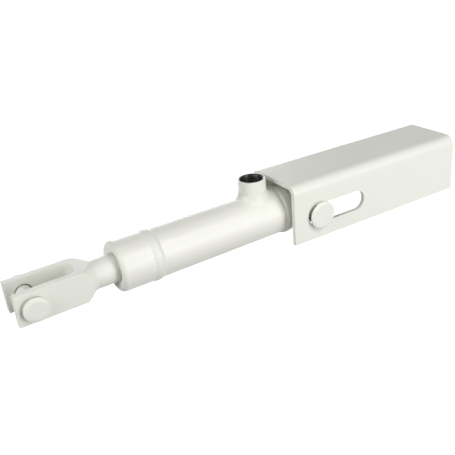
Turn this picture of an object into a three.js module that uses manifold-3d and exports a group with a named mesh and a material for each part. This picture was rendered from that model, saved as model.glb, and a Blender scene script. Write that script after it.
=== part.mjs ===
// Hydraulic actuating cylinder with a clevis fork, pinned in a slotted channel bracket.
// Millimetres. The bracket lies towards +X, the fork towards -X, -Y is the near side and +Z is up.
// The origin is on the bracket's top face, right above the rear pin's axis.

import * as THREE from 'three';
import { mergeVertices } from 'three/addons/utils/BufferGeometryUtils.js';
import Module from 'manifold-3d';

const wasm = await Module();
wasm.setup();

// Clearances shared by all pieces, and the overrun of every cut
const runningGap = 0.3;
const playGap = 0.8;
const overrun = 3;

// Channel bracket, folded from sheet and open below
const bracketWidth = 60;
const bracketHeight = 52.5;
const bracketLength = 190;
const bracketSheet = 4;
const bracketBendRadius = 8.5;
const bracketFrontReach = 27;
const slotHeight = 21.7;
const slotFrontReach = 13;
const slotLength = 62.2;

// Rear pin, through the bracket's slots and the cylinder's eye
const rearPinRadius = 8;
const rearPinHeadRadius = 12.8;
const rearPinHeadThickness = 2.2;
const rearPinHeadBevelWidth = 1.6;
const rearPinHeadBevelDepth = 1;
const rearPinEndPlay = 2.3;
const rearPinTailLength = 7;
const rearWasherRadius = 14;
const rearWasherThickness = 2.5;
const rearBushWall = 1.5;
const rearEyeRadius = 15;
const rearEyeWidth = 26;

// Cylinder body: places are measured forwards from the rear pin's axis
const axisRise = 2.5;
const barrelRadius = 20;
const barrelWall = 5;
const rearWeldReach = 22.8;
const rearWeldWidth = 10;
const rearWeldCrown = 1.2;
const rearCapSpigotReach = 36;
const rearCapShoulderReach = 14;
const rearCapNeckReach = 9;
const headWeldReach = 145.1;
const headWeldWidth = 9;
const headWeldCrown = 1.1;
const headLength = 29.6;
const headStep = 0.3;
const headEdgeRadius = 4;
const headSpigotLength = 9;

// Hose port, on a boss welded to the top of the barrel
const portWeldSpacing = 2.1;
const portStickOut = 14.5;
const portRadius = 11.5;
const portMouthRadius = 10.2;
const portBoreRadius = 8.9;
const portMouthDepth = 1.5;
const portFeedRadius = 4;
const portRimChamfer = 0.4;
const portWeldWidth = 5;
const portWeldHeight = 5.6;

// Gland parts, in the front of the head
const glandNutWidth = 5.6;
const glandNutLength = 9;
const glandDishDepth = 1.8;
const glandLipLength = 1;
const spannerHoleRadius = 1.3;
const spannerHoleDepth = 2.5;
const spannerHoleInset = 2;
const spannerHoleCount = 4;
const spannerHoleTurn = Math.PI * 0.47;
const wiperLength = 4;
const wiperHeight = 2.6;
const sealLength = 5;
const sealHeight = 3.4;
const guideLength = 8;
const guideHeight = 2;
const glandRingWidth = 2.4;

// Piston rod and piston, drawn fully in
const rodAnnulus = 5;
const rodTailShare = 0.6;
const rodTenonShare = 0.7;
const rodTenonLength = 16;
const pistonRestReach = 54;
const pistonLength = 22;
const pistonSealLength = 5;
const pistonSealHeight = 3.4;
const pistonGuideLength = 6;
const pistonGuideHeight = 2;
const pistonNutLength = 8;
const pistonNutWall = 3;
const pistonNutChamfer = 1;
const rodTailStickOut = 1.5;

// Clevis fork
const forkStickOut = 76.6;
const forkBodyLength = 47.5;
const forkWidth = 30.4;
const forkHeight = 24.4;
const forkGap = 19.1;
const forkSlotDepth = 46.2;
const forkSlotCornerRadius = 6;
const forkShankWall = 1.35;
const forkShankEdge = 0.5;
const forkShoulderLength = 14;

// Clevis pin, through the fork's ears
const clevisPinSetback = 12.8;
const clevisPinRadius = 6;
const clevisPinHeadRadius = 10.1;
const clevisPinHeadThickness = 2.7;
const clevisPinHeadBevelWidth = 2.3;
const clevisPinHeadBevelDepth = 1.5;
const clevisPinEndPlay = 2.9;
const clevisPinTailLength = 6;
const clevisWasherRadius = 12;
const clevisWasherThickness = 2.5;

const pinTailChamfer = 1;

// Split pins, one behind each washer
const rearSplitWire = 2;
const clevisSplitWire = 1.25;
const splitEyeShare = 1.4;
const splitEyeWireShare = 0.7;
const splitLegShare = 3;
const splitLegSpread = Math.PI * 0.22;

// Facets of round faces
const roundSteps = 40;
const boltSteps = 32;
const wireSteps = 12;
const arcSteps = 6;
const hexSides = 6;

// Sizes that follow from those above
const floorZ = -bracketHeight;
const pinZ = floorZ + slotHeight;
const slotWidth = 2 * (rearPinRadius + playGap);
const boreRadius = barrelRadius - barrelWall;
const rodRadius = boreRadius - rodAnnulus;
const rodTailRadius = rodRadius * rodTailShare;
const rodTenonRadius = rodRadius * rodTenonShare;
const glandNutRadius = rodRadius + glandNutWidth;
const forkShankRadius = rodRadius + forkShankWall;
const headRadius = barrelRadius + headStep;
const portHeight = barrelRadius + portStickOut;
const rearBushRadius = rearPinRadius + runningGap + rearBushWall;
const bracketInnerHalf = bracketWidth / 2 - bracketSheet;
const headWeldRadius = barrelRadius + headWeldCrown;
const rearWeldRadius = barrelRadius + rearWeldCrown;
const tubeRearX = -rearWeldReach - rearWeldWidth / 2;
const tubeFrontX = -headWeldReach + headWeldWidth / 2;
const portX = tubeRearX - portWeldSpacing - portWeldWidth - runningGap - portRadius;
const headRearX = -headWeldReach - headWeldWidth / 2;
const headFaceX = -headWeldReach - headLength;
const headInnerX = headRearX + headSpigotLength + headWeldWidth;
const forkFrontX = headFaceX - forkStickOut;
const clevisPinX = forkFrontX + clevisPinSetback;
const glandLipX = headFaceX + glandDishDepth;
const wiperFrontX = glandLipX + glandLipLength;
const forkRearX = glandLipX - runningGap;
const forkShoulderX = forkFrontX + forkBodyLength;
const pistonRearX = -pistonRestReach;
const pistonFrontX = pistonRearX - pistonLength;
const glandFloorX = headFaceX + glandNutLength;

// The cylinder leans down to the front until its head weld touches what the bracket stands on.
const weldDrop = axisRise - headWeldRadius;
const leanArm = Math.hypot(headWeldReach, weldDrop);
const cylinderLean = Math.asin(slotHeight / leanArm) + Math.atan2(weldDrop, headWeldReach);

// Finishes
const offWhitePaint = new THREE.MeshStandardMaterial({ color: 0xebece4, roughness: 0.42, metalness: 0 });
const zincPlate = new THREE.MeshStandardMaterial({ color: 0xc4c6c4, roughness: 0.35, metalness: 0.9 });
const hardChrome = new THREE.MeshStandardMaterial({ color: 0xdadcde, roughness: 0.12, metalness: 1 });
const plainSteel = new THREE.MeshStandardMaterial({ color: 0x8d8f90, roughness: 0.4, metalness: 1 });
const bronze = new THREE.MeshStandardMaterial({ color: 0xb08a52, roughness: 0.4, metalness: 1 });
const blackRubber = new THREE.MeshStandardMaterial({ color: 0x17181a, roughness: 0.75, metalness: 0 });

// Closed geometry to solid, and back
function solid(geometry) {
  const bare = geometry.clone();
  bare.deleteAttribute('normal');
  bare.deleteAttribute('uv');
  const merged = mergeVertices(bare);
  const corners = [];
  const index = merged.index.array;
  for (let i = 0; i < index.length; i += 3) {
    const [a, b, c] = [index[i], index[i + 1], index[i + 2]];
    if (a !== b && b !== c && c !== a) corners.push(a, b, c);
  }
  return new wasm.Manifold(new wasm.Mesh({
    numProp: 3,
    vertProperties: new Float32Array(merged.attributes.position.array),
    triVerts: new Uint32Array(corners),
  }));
}

function geometryOf(body) {
  const mesh = body.getMesh();
  const geometry = new THREE.BufferGeometry();
  geometry.setAttribute('position', new THREE.BufferAttribute(mesh.vertProperties, 3));
  geometry.setIndex(new THREE.BufferAttribute(mesh.triVerts, 1));
  geometry.computeVertexNormals();
  return geometry;
}

// Revolved bodies: a profile is a list of [place along the axis, radius], outside first
function revolve(profile, steps = roundSteps) {
  const points = profile.map(([along, radius]) => new THREE.Vector2(radius, along));
  return new THREE.LatheGeometry(points, steps);
}

function revolveX(profile, steps) {
  return revolve(profile, steps).rotateZ(-Math.PI / 2);
}

function revolveZ(profile, steps) {
  return revolve(profile, steps).rotateX(Math.PI / 2);
}

function tubeProfile(from, to, outer, inner) {
  return [[from, outer], [to, outer], [to, inner], [from, inner], [from, outer]];
}

function barProfile(from, to, radius) {
  return [[from, 0], [from, radius], [to, radius], [to, 0]];
}

// Points of an arc about a centre, both ends included
function arc(centreX, centreY, radius, from, to, steps = arcSteps) {
  return Array.from({ length: steps + 1 }, (_, i) => {
    const angle = from + (to - from) * i / steps;
    return [centreX + radius * Math.cos(angle), centreY + radius * Math.sin(angle)];
  });
}

function shapeOf(points) {
  return new THREE.Shape(points.map(([x, y]) => new THREE.Vector2(x, y)));
}

function prism(shape, depth) {
  return new THREE.ExtrudeGeometry(shape, { depth, bevelEnabled: false, curveSegments: arcSteps * 2 });
}

// Obround outline between two end centres on the X axis
function obround(fromX, toX, radius) {
  const rightEnd = arc(toX, 0, radius, -Math.PI / 2, Math.PI / 2, arcSteps * 2);
  const leftEnd = arc(fromX, 0, radius, Math.PI / 2, Math.PI * 1.5, arcSteps * 2);
  return shapeOf([...rightEnd, ...leftEnd]);
}

// Channel bracket: a folded section along X, with a slot through both flanges
function bracketGeometry() {
  const half = bracketWidth / 2;
  const innerBend = bracketBendRadius - bracketSheet;
  const bendY = half - bracketBendRadius;
  const bendZ = -bracketBendRadius;
  const section = [
    [-half, floorZ],
    [-bracketInnerHalf, floorZ],
    ...arc(-bendY, bendZ, innerBend, Math.PI, Math.PI / 2),
    ...arc(bendY, bendZ, innerBend, Math.PI / 2, 0),
    [bracketInnerHalf, floorZ],
    [half, floorZ],
    ...arc(bendY, bendZ, bracketBendRadius, 0, Math.PI / 2),
    ...arc(-bendY, bendZ, bracketBendRadius, Math.PI / 2, Math.PI),
  ];
  const channel = prism(shapeOf(section), bracketLength);
  channel.rotateX(Math.PI / 2).rotateZ(Math.PI / 2).translate(-bracketFrontReach, 0, 0);
  const slotRadius = slotWidth / 2;
  const slotFrom = slotRadius - slotFrontReach;
  const slotTo = slotLength - slotFrontReach - slotRadius;
  const slot = prism(obround(slotFrom, slotTo, slotRadius), bracketWidth + 2 * overrun);
  slot.rotateX(Math.PI / 2).translate(0, bracketWidth / 2 + overrun, pinZ);
  return geometryOf(solid(channel).subtract(solid(slot)));
}

// Headed pin along Y, pushed to the near side by its end play: a bevelled head there, and a cross hole for
// a split pin at the far end
function headedPin(sizes) {
  const { halfSpan, radius, headRadius, headThickness, washer, tail, wire } = sizes;
  const headTo = -halfSpan - sizes.endPlay;
  const headFrom = headTo - headThickness;
  const end = halfSpan + runningGap + washer + tail;
  const profile = [
    [headFrom, 0],
    [headFrom, headRadius - sizes.bevelWidth],
    [headFrom + sizes.bevelDepth, headRadius],
    [headTo, headRadius],
    [headTo, radius],
    [end - pinTailChamfer, radius],
    [end, radius - pinTailChamfer],
    [end, 0],
  ];
  const hole = revolveZ(barProfile(-radius - overrun, radius + overrun, wire + runningGap), wireSteps);
  hole.translate(0, splitPinPlace({ halfSpan, washer, wire }), 0);
  return geometryOf(solid(revolve(profile, roundSteps)).subtract(solid(hole)));
}

// Where a split pin crosses its pin: just behind the washer
function splitPinPlace({ halfSpan, washer, wire }) {
  return halfSpan + 2 * runningGap + washer + wire + runningGap;
}

function washerGeometry({ halfSpan, radius, washer, washerRadius }) {
  const from = halfSpan + runningGap;
  return revolve(tubeProfile(from, from + washer, washerRadius, radius + runningGap), boltSteps);
}

// Split pin across its pin: a round eye above, two legs spread below
function splitPinGeometry({ radius, wire }) {
  const eyeRadius = wire * splitEyeShare;
  const thinWire = wire * splitEyeWireShare;
  const eyeZ = radius + runningGap + thinWire + eyeRadius;
  const legTopZ = -radius - wire;
  let body = solid(revolveZ(barProfile(legTopZ, eyeZ - eyeRadius, wire), wireSteps));
  const eye = new THREE.TorusGeometry(eyeRadius, thinWire, wireSteps, boltSteps / 2);
  eye.rotateX(Math.PI / 2).translate(0, 0, eyeZ);
  body = body.add(solid(eye));
  for (const side of [-1, 1]) {
    const leg = revolveZ(barProfile(-wire * splitLegShare, 0, thinWire), wireSteps);
    leg.rotateY(-side * splitLegSpread).translate(0, 0, legTopZ + wire / 2);
    body = body.add(solid(leg));
  }
  return geometryOf(body);
}

// Rear cap: a spigot in the barrel, a cone behind the weld and the eye for the rear pin
function rearCapGeometry() {
  const weldX = tubeRearX + rearWeldWidth;
  const spigotRadius = boreRadius - runningGap;
  const turned = revolveX([
    [-rearCapSpigotReach, 0],
    [-rearCapSpigotReach, spigotRadius],
    [weldX, spigotRadius],
    [weldX, barrelRadius],
    [-rearCapShoulderReach, barrelRadius],
    [-rearCapNeckReach, rearEyeRadius - axisRise],
    [0, rearEyeRadius - axisRise],
    [0, 0],
  ]).translate(0, 0, axisRise);
  const eye = revolve(barProfile(-rearEyeWidth / 2, rearEyeWidth / 2, rearEyeRadius));
  const boreHalf = barrelRadius + overrun;
  const bore = revolve(barProfile(-boreHalf, boreHalf, rearBushRadius + runningGap));
  return geometryOf(solid(turned).add(solid(eye)).subtract(solid(bore)));
}

// Bush through the eye, which keeps it in the middle of the bracket
function rearBushGeometry() {
  const half = bracketInnerHalf - runningGap;
  return revolve(tubeProfile(-half, half, rearBushRadius, rearPinRadius + runningGap));
}

function barrelTubeGeometry() {
  const tube = revolveX(tubeProfile(tubeFrontX, tubeRearX, barrelRadius, boreRadius));
  const feed = revolveZ(barProfile(0, barrelRadius + overrun, portFeedRadius), wireSteps * 2);
  feed.translate(portX, 0, 0);
  return geometryOf(solid(tube).subtract(solid(feed)));
}

// Crowned weld bead filling the groove between two turned pieces
function weldRing(middle, width, rootRadius, crownRadius) {
  const half = width / 2 - runningGap;
  const crown = Array.from({ length: arcSteps + 1 }, (_, i) => {
    const along = -half + 2 * half * i / arcSteps;
    const edge = barrelRadius;
    return [middle + along, edge + (crownRadius - edge) * Math.cos(along / half * Math.PI / 2)];
  });
  return revolveX([...crown, [middle + half, rootRadius], [middle - half, rootRadius], crown[0]]);
}

// Head: rounded front edge, gland recess, seal grooves and a spigot in the barrel
function headGeometry() {
  const edgeCentreX = headFaceX + headEdgeRadius;
  const edgeCentreR = headRadius - headEdgeRadius;
  const recess = glandNutRadius + runningGap;
  const rodBore = rodRadius + runningGap;
  const sealFrom = glandFloorX + glandRingWidth;
  const sealTo = sealFrom + sealLength;
  const guideFrom = sealTo + glandRingWidth;
  const guideTo = guideFrom + guideLength;
  const edge = arc(edgeCentreX, edgeCentreR, headEdgeRadius, Math.PI, Math.PI / 2);
  return revolveX([
    ...edge,
    [headRearX, headRadius],
    [headRearX, boreRadius - runningGap],
    [headInnerX, boreRadius - runningGap],
    [headInnerX, rodBore],
    [guideTo, rodBore],
    [guideTo, rodBore + guideHeight],
    [guideFrom, rodBore + guideHeight],
    [guideFrom, rodBore],
    [sealTo, rodBore],
    [sealTo, rodBore + sealHeight],
    [sealFrom, rodBore + sealHeight],
    [sealFrom, rodBore],
    [glandFloorX, rodBore],
    [glandFloorX, recess],
    [headFaceX, recess],
    edge[0],
  ]);
}

// Ring that fills a groove round the rod, clear of the groove on every side
function grooveRing(from, length, innerRadius, height) {
  const outerRadius = innerRadius + height - runningGap;
  return revolveX(tubeProfile(from + runningGap, from + length - runningGap, outerRadius, innerRadius));
}

// Gland nut: a face dished down to a flat land behind the fork's shank, a wiper groove and blind holes for
// a pin spanner
function glandNutGeometry() {
  const rodBore = rodRadius + runningGap;
  const rearX = glandFloorX - runningGap;
  const wiperRearX = wiperFrontX + wiperLength;
  const landRadius = forkShankRadius + runningGap;
  const holePitch = glandNutRadius - spannerHoleInset;
  const nut = revolveX([
    [headFaceX, glandNutRadius],
    [rearX, glandNutRadius],
    [rearX, rodBore],
    [wiperRearX, rodBore],
    [wiperRearX, rodBore + wiperHeight],
    [wiperFrontX, rodBore + wiperHeight],
    [wiperFrontX, rodBore],
    [glandLipX, rodBore],
    [glandLipX, landRadius],
    [headFaceX, glandNutRadius],
  ]);
  const holeProfile = barProfile(headFaceX - overrun, headFaceX + spannerHoleDepth, spannerHoleRadius);
  let body = solid(nut);
  for (let i = 0; i < spannerHoleCount; i += 1) {
    const angle = spannerHoleTurn + i / spannerHoleCount * 2 * Math.PI;
    const hole = revolveX(holeProfile, wireSteps);
    hole.translate(0, holePitch * Math.cos(angle), holePitch * Math.sin(angle));
    body = body.subtract(solid(hole));
  }
  return geometryOf(body);
}

// Port boss: threaded bore with a countersunk mouth, saddled on the barrel
function portBossGeometry() {
  const top = portHeight;
  const boss = revolveZ([
    [0, portBoreRadius],
    [0, portRadius],
    [top - portRimChamfer, portRadius],
    [top, portRadius - portRimChamfer],
    [top, portMouthRadius],
    [top - portMouthDepth, portBoreRadius],
    [0, portBoreRadius],
  ]);
  boss.translate(portX, 0, 0);
  const seatFrom = portX - 2 * portRadius;
  const seat = revolveX(barProfile(seatFrom, seatFrom + 4 * portRadius, barrelRadius + runningGap));
  return geometryOf(solid(boss).subtract(solid(seat)));
}

// Fillet weld round the boss, whose height and width follow the barrel's saddle
function portWeldGeometry() {
  const rootRadius = portRadius + runningGap;
  const seatRadius = barrelRadius + runningGap;
  const onBarrel = (radius, angle) => {
    const y = radius * Math.sin(angle);
    return [radius * Math.cos(angle), y, Math.sqrt(seatRadius * seatRadius - y * y)];
  };
  const positions = [];
  const index = [];
  const ringSize = arcSteps + 2;
  for (let i = 0; i < roundSteps; i += 1) {
    const angle = i / roundSteps * 2 * Math.PI;
    const root = onBarrel(rootRadius, angle);
    const middle = onBarrel(rootRadius + portWeldWidth / 2, angle);
    const toe = onBarrel(rootRadius + portWeldWidth, angle);
    const bend = [root[0], root[1], toe[2] + (root[2] - toe[2])];
    for (let j = 0; j < arcSteps; j += 1) {
      const t = j / (arcSteps - 1);
      const crown = [root[0], root[1], root[2] + portWeldHeight];
      const weights = [(1 - t) * (1 - t), 2 * t * (1 - t), t * t];
      const knee = bend.map((v, k) => v + (k === 2 ? portWeldHeight / 4 : (toe[k] - root[k]) / 4));
      positions.push(...crown.map((v, k) => weights[0] * v + weights[1] * knee[k] + weights[2] * toe[k]));
    }
    positions.push(...middle, ...root);
  }
  for (let i = 0; i < roundSteps; i += 1) {
    const next = (i + 1) % roundSteps;
    for (let j = 0; j < ringSize; j += 1) {
      const after = (j + 1) % ringSize;
      const [a, b] = [i * ringSize + j, i * ringSize + after];
      const [c, d] = [next * ringSize + after, next * ringSize + j];
      index.push(a, b, c, a, c, d);
    }
  }
  const geometry = new THREE.BufferGeometry();
  geometry.setAttribute('position', new THREE.BufferAttribute(new Float32Array(positions), 3));
  geometry.setIndex(index);
  geometry.translate(portX, 0, 0);
  geometry.computeVertexNormals();
  return geometry;
}

// Piston rod: tail for the piston, full rod and a tenon in the fork
function rodGeometry() {
  const tailEnd = pistonRearX + runningGap + pistonNutLength + runningGap + rodTailStickOut;
  const shoulder = forkRearX + runningGap;
  const tenonEnd = shoulder - rodTenonLength;
  return revolveX([
    [tenonEnd, 0],
    [tenonEnd, rodTenonRadius],
    [shoulder, rodTenonRadius],
    [shoulder, rodRadius],
    [pistonFrontX - runningGap, rodRadius],
    [pistonFrontX - runningGap, rodTailRadius],
    [tailEnd, rodTailRadius],
    [tailEnd, 0],
  ]);
}

function pistonGeometry() {
  const outer = boreRadius - runningGap;
  const spacing = (pistonLength - pistonSealLength - pistonGuideLength) / 3;
  const guideFrom = pistonFrontX + spacing;
  const guideTo = guideFrom + pistonGuideLength;
  const sealFrom = guideTo + spacing;
  const sealTo = sealFrom + pistonSealLength;
  return revolveX([
    [pistonFrontX, outer],
    [guideFrom, outer],
    [guideFrom, outer - pistonGuideHeight],
    [guideTo, outer - pistonGuideHeight],
    [guideTo, outer],
    [sealFrom, outer],
    [sealFrom, outer - pistonSealHeight],
    [sealTo, outer - pistonSealHeight],
    [sealTo, outer],
    [pistonRearX, outer],
    [pistonRearX, rodTailRadius + runningGap],
    [pistonFrontX, rodTailRadius + runningGap],
    [pistonFrontX, outer],
  ]);
}

// Ring in one of the piston's outer grooves
function pistonRing(from, length, height) {
  const outer = boreRadius - runningGap;
  const inner = outer - height + runningGap;
  return revolveX(tubeProfile(from + runningGap, from + length - runningGap, outer, inner));
}

function pistonSealGeometry() {
  const spacing = (pistonLength - pistonSealLength - pistonGuideLength) / 3;
  return pistonRing(pistonRearX - spacing - pistonSealLength, pistonSealLength, pistonSealHeight);
}

function pistonGuideGeometry() {
  const spacing = (pistonLength - pistonSealLength - pistonGuideLength) / 3;
  return pistonRing(pistonFrontX + spacing, pistonGuideLength, pistonGuideHeight);
}

// Hexagon nut with chamfered corners, screwed on the rod's tail
function pistonNutGeometry() {
  const cornerRadius = (rodTailRadius + pistonNutWall) / Math.cos(Math.PI / hexSides);
  const outline = shapeOf(arc(0, 0, cornerRadius, 0, 2 * Math.PI * (1 - 1 / hexSides), hexSides - 1));
  const hole = arc(0, 0, rodTailRadius + runningGap, 0, -2 * Math.PI * (1 - 1 / boltSteps), boltSteps - 1);
  outline.holes.push(new THREE.Path(hole.map(([x, y]) => new THREE.Vector2(x, y))));
  const from = pistonRearX + runningGap;
  const hex = prism(outline, pistonNutLength).rotateY(Math.PI / 2).translate(from, 0, 0);
  const turned = revolveX([
    [from, 0],
    [from, cornerRadius],
    [from + pistonNutLength - pistonNutChamfer, cornerRadius],
    [from + pistonNutLength, cornerRadius - pistonNutChamfer],
    [from + pistonNutLength, 0],
  ]);
  return geometryOf(solid(hex).intersect(solid(turned)));
}

// Fork: a square body turned down to a shank, slotted and cross drilled
function forkGeometry() {
  const corner = Math.hypot(forkWidth / 2, forkHeight / 2);
  const shoulderEnd = forkShoulderX + forkShoulderLength;
  const shoulderMiddle = (forkShoulderX + shoulderEnd) / 2;
  const middleRadius = (corner + forkShankRadius) / 2;
  const quarter = forkShoulderLength / 2;
  const drop = (corner - forkShankRadius) / 2;
  const shoulder = [];
  for (let i = 0; i <= arcSteps; i += 1) {
    const angle = i / arcSteps * Math.PI / 2;
    shoulder.push([forkShoulderX + quarter * Math.sin(angle), middleRadius + drop * Math.cos(angle)]);
  }
  for (let i = 1; i <= arcSteps; i += 1) {
    const angle = i / arcSteps * Math.PI / 2;
    const along = shoulderMiddle + quarter * (1 - Math.cos(angle));
    shoulder.push([along, middleRadius - drop * Math.sin(angle)]);
  }
  const turned = revolveX([
    [forkFrontX, 0],
    [forkFrontX, corner],
    ...shoulder,
    [forkRearX - forkShankEdge, forkShankRadius],
    [forkRearX, forkShankRadius - forkShankEdge],
    [forkRearX, 0],
  ]);
  const length = forkRearX - forkFrontX;
  const block = new THREE.BoxGeometry(length, forkWidth, forkHeight);
  block.translate(forkFrontX + length / 2, 0, 0);
  const slotEnd = forkFrontX + forkSlotDepth;
  const cornerY = forkGap / 2 - forkSlotCornerRadius;
  const cornerX = slotEnd - forkSlotCornerRadius;
  const slotOutline = shapeOf([
    [forkFrontX - overrun, -forkGap / 2],
    ...arc(cornerX, -cornerY, forkSlotCornerRadius, -Math.PI / 2, 0),
    ...arc(cornerX, cornerY, forkSlotCornerRadius, 0, Math.PI / 2),
    [forkFrontX - overrun, forkGap / 2],
  ]);
  const slot = prism(slotOutline, forkHeight + 2 * overrun).translate(0, 0, -forkHeight / 2 - overrun);
  const pinHole = revolve(barProfile(-forkWidth, forkWidth, clevisPinRadius + runningGap), boltSteps);
  pinHole.translate(clevisPinX, 0, 0);
  const socketEnd = forkRearX - rodTenonLength - runningGap;
  const socketRadius = rodTenonRadius + runningGap;
  const socket = revolveX(barProfile(socketEnd, forkRearX + overrun, socketRadius), boltSteps);
  const body = solid(turned).intersect(solid(block));
  return geometryOf(body.subtract(solid(slot)).subtract(solid(pinHole)).subtract(solid(socket)));
}

function piece(name, geometry, material) {
  const mesh = new THREE.Mesh(geometry, material);
  mesh.name = name;
  return mesh;
}

// Pins with their washers and split pins
const rearPinSizes = {
  halfSpan: bracketWidth / 2,
  radius: rearPinRadius,
  headRadius: rearPinHeadRadius,
  headThickness: rearPinHeadThickness,
  bevelWidth: rearPinHeadBevelWidth,
  bevelDepth: rearPinHeadBevelDepth,
  endPlay: rearPinEndPlay,
  washer: rearWasherThickness,
  washerRadius: rearWasherRadius,
  tail: rearPinTailLength,
  wire: rearSplitWire,
};

const clevisPinSizes = {
  halfSpan: forkWidth / 2,
  radius: clevisPinRadius,
  headRadius: clevisPinHeadRadius,
  headThickness: clevisPinHeadThickness,
  bevelWidth: clevisPinHeadBevelWidth,
  bevelDepth: clevisPinHeadBevelDepth,
  endPlay: clevisPinEndPlay,
  washer: clevisWasherThickness,
  washerRadius: clevisWasherRadius,
  tail: clevisPinTailLength,
  wire: clevisSplitWire,
};

function pinGroup(prefix, sizes) {
  const group = new THREE.Group();
  const splitPin = piece(`${prefix}_split_pin`, splitPinGeometry(sizes), zincPlate);
  splitPin.position.y = splitPinPlace(sizes);
  group.add(piece(`${prefix}_pin`, headedPin(sizes), offWhitePaint));
  group.add(piece(`${prefix}_washer`, washerGeometry(sizes), zincPlate));
  group.add(splitPin);
  return group;
}

// Pieces that stay with the barrel
function barrelGroup() {
  const sealFrom = glandFloorX + glandRingWidth;
  const guideFrom = sealFrom + sealLength + glandRingWidth;
  const rodBore = rodRadius + runningGap;
  const rootRadius = boreRadius + runningGap;
  const group = new THREE.Group();
  const onAxis = new THREE.Group();
  onAxis.position.z = axisRise;
  onAxis.add(piece('barrel_tube', barrelTubeGeometry(), offWhitePaint));
  onAxis.add(piece('cylinder_head', headGeometry(), offWhitePaint));
  const headBead = weldRing(-headWeldReach, headWeldWidth, rootRadius, headWeldRadius);
  const rearBead = weldRing(-rearWeldReach, rearWeldWidth, rootRadius, rearWeldRadius);
  onAxis.add(piece('head_weld', headBead, offWhitePaint));
  onAxis.add(piece('rear_weld', rearBead, offWhitePaint));
  onAxis.add(piece('port_boss', portBossGeometry(), offWhitePaint));
  onAxis.add(piece('port_weld', portWeldGeometry(), offWhitePaint));
  onAxis.add(piece('gland_nut', glandNutGeometry(), offWhitePaint));
  onAxis.add(piece('wiper_seal', grooveRing(wiperFrontX, wiperLength, rodBore, wiperHeight), blackRubber));
  onAxis.add(piece('rod_seal', grooveRing(sealFrom, sealLength, rodBore, sealHeight), blackRubber));
  onAxis.add(piece('rod_guide', grooveRing(guideFrom, guideLength, rodBore, guideHeight), bronze));
  group.add(onAxis);
  group.add(piece('rear_cap', rearCapGeometry(), offWhitePaint));
  group.add(piece('rear_bush', rearBushGeometry(), plainSteel));
  return group;
}

// Pieces that slide out with the rod
function rodGroup() {
  const group = new THREE.Group();
  group.position.z = axisRise;
  group.add(piece('piston', pistonGeometry(), plainSteel));
  group.add(piece('piston_seal', pistonSealGeometry(), blackRubber));
  group.add(piece('piston_guide', pistonGuideGeometry(), bronze));
  group.add(piece('piston_rod', rodGeometry(), hardChrome));
  group.add(piece('piston_nut', pistonNutGeometry(), plainSteel));
  group.add(piece('fork', forkGeometry(), offWhitePaint));
  const pin = pinGroup('clevis', clevisPinSizes);
  pin.position.x = clevisPinX;
  group.add(pin);
  return group;
}

function cylinderGroup() {
  const group = new THREE.Group();
  group.position.z = pinZ;
  group.rotation.y = -cylinderLean;
  group.add(barrelGroup());
  group.add(rodGroup());
  return group;
}

function actuator() {
  const group = new THREE.Group();
  group.add(piece('bracket', bracketGeometry(), offWhitePaint));
  const rearPin = pinGroup('rear', rearPinSizes);
  rearPin.position.z = pinZ;
  group.add(rearPin);
  group.add(cylinderGroup());
  return group;
}

export default actuator();
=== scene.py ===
"""A hydraulic cylinder with a forked rod end, pinned in a slotted channel bracket.

Lengths are in millimetres until a surface is placed, which turns them into metres in the CAD frame:
X runs from the fork to the bracket, -Y is the near side, +Z is up, and the origin is on the bracket's
top face, right above the rear pin. Surfaces on the cylinder are worked out on its own axis, then leaned.
"""

import math

import bmesh
import bpy
import numpy as np
from mathutils import Matrix


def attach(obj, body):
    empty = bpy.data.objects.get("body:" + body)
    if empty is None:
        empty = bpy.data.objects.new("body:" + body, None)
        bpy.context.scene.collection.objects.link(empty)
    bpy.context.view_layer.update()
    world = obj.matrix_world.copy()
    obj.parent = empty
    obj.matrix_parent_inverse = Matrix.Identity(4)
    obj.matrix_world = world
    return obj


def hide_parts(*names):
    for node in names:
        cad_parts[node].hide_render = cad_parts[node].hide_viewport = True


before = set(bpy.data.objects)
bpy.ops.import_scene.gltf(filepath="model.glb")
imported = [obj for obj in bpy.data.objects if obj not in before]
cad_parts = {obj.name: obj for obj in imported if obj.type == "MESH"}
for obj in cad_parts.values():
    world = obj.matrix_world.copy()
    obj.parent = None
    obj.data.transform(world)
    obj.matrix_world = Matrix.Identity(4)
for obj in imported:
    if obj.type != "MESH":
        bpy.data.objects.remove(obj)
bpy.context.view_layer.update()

MM = 0.001
TAU = 2 * math.pi

# Play between turned pieces, and how far the ends joined by a weld lie from its middle
FIT = 0.3
WELD_GAP = 1.0

# Channel bracket
BRACKET_WIDTH = 60.0
BRACKET_HEIGHT = 52.5
BRACKET_FOOT = -BRACKET_HEIGHT
BRACKET_FRONT = -27.0
BRACKET_REAR = 163.0
SHEET = 4.0
SHEET_EDGE = 0.3
BEND_RADIUS = 8.5
SLOT_FRONT = -12.5
SLOT_REAR = 49.2
SLOT_RADIUS = 8.8
PIN_Z = -30.8

# Columns of points along the channel: round the slot, and behind it
SLOT_COLUMNS = np.linspace(BRACKET_FRONT, 63.0, 41)
REAR_COLUMNS = np.linspace(SLOT_COLUMNS[-1], BRACKET_REAR, 17)

# Rear pin, bush and eye. A head is given by the y of its face and underside, its radius, and its bevel's
# width and depth. A washer is given by the y of its two faces and its radius.
REAR_PIN_RADIUS = 8.0
REAR_HEAD = (-34.5, -32.3, 11.9, 1.9, 0.7)
REAR_WASHER = (30.3, 32.8, 14.0)
REAR_PIN_END = 39.8
REAR_SPLIT_Y = 35.4
REAR_SPLIT_WIRE = 2.0
REAR_BUSH_RADIUS = 9.8
REAR_BUSH_HALF = 25.7
REAR_CLEARANCE = 0.6
REAR_SAG = 0.5
EYE_RADIUS = 15.0
EYE_WIDTH = 26.0

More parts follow.
